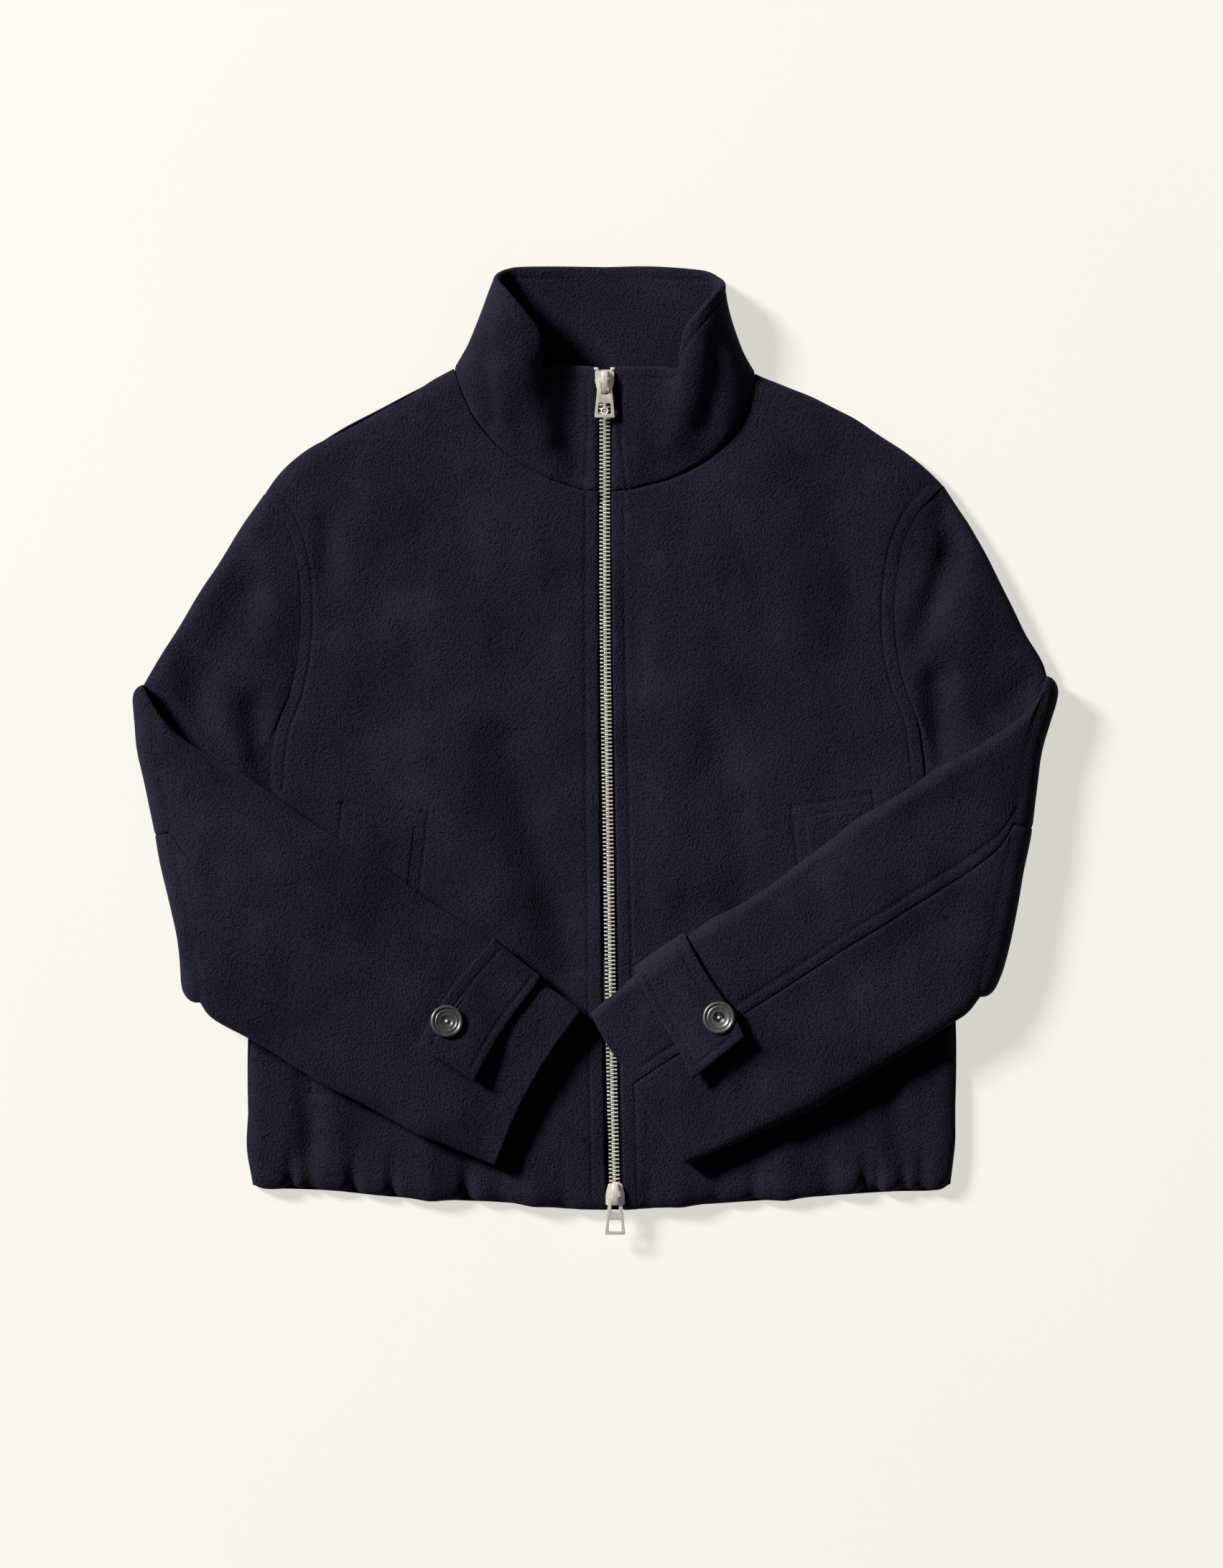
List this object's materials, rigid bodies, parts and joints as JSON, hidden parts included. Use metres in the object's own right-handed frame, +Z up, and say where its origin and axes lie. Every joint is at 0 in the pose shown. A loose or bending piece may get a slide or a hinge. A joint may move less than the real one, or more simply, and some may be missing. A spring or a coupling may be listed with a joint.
{
  "type": "jacket",
  "caption": "Wool jacket with a tall zipped collar, slanted welt pockets and buttoned cuff tabs, lying on its back with both sleeves folded across the front.",
  "frame": {"origin": "centre of the jacket's outline on the surface it lies on", "axes": "+Z up from that surface, through the thickness of the laid jacket; +Y from the hem to the collar; +X towards the wearer's left"},
  "size_m": [0.7092, 0.7426, 0.0482],
  "materials": {
    "wool": "matt navy wool with a fine pebbled face",
    "tape": "matt woven zip tape",
    "nickel": "polished nickel zip parts",
    "horn": "dark grey glossy button"
  },
  "bodies": {
    "jacket": {"back": "wool", "front_right": "wool", "front_left": "wool", "top_sleeve_right": "wool", "top_sleeve_left": "wool", "under_sleeve_right": "wool", "under_sleeve_left": "wool", "collar": "wool", "pocket_welt_right": "wool", "pocket_welt_left": "wool", "cuff_tab_right": "wool", "cuff_tab_left": "wool", "button_right": "horn", "button_left": "horn", "zip_tape_right": "tape", "zip_tape_left": "tape", "zip_chain": "nickel", "slider_top": "nickel", "slider_bottom": "nickel"},
    "pull_top": {"pull_top": "nickel"},
    "pull_bottom": {"pull_bottom": "nickel"}
  },
  "joints": [
    {"name": "pull_top_hinge", "type": "hinge", "parent": "jacket", "child": "pull_top", "pos_m": [0.00681, 0.28283, 0.02871], "axis": [-1, 0, 0], "range_deg": [0, 160]},
    {"name": "pull_bottom_hinge", "type": "hinge", "parent": "jacket", "child": "pull_bottom", "pos_m": [0.0149, -0.3425, 0.0186], "axis": [-1, 0, 0], "range_deg": [0, 160]}
  ]
}
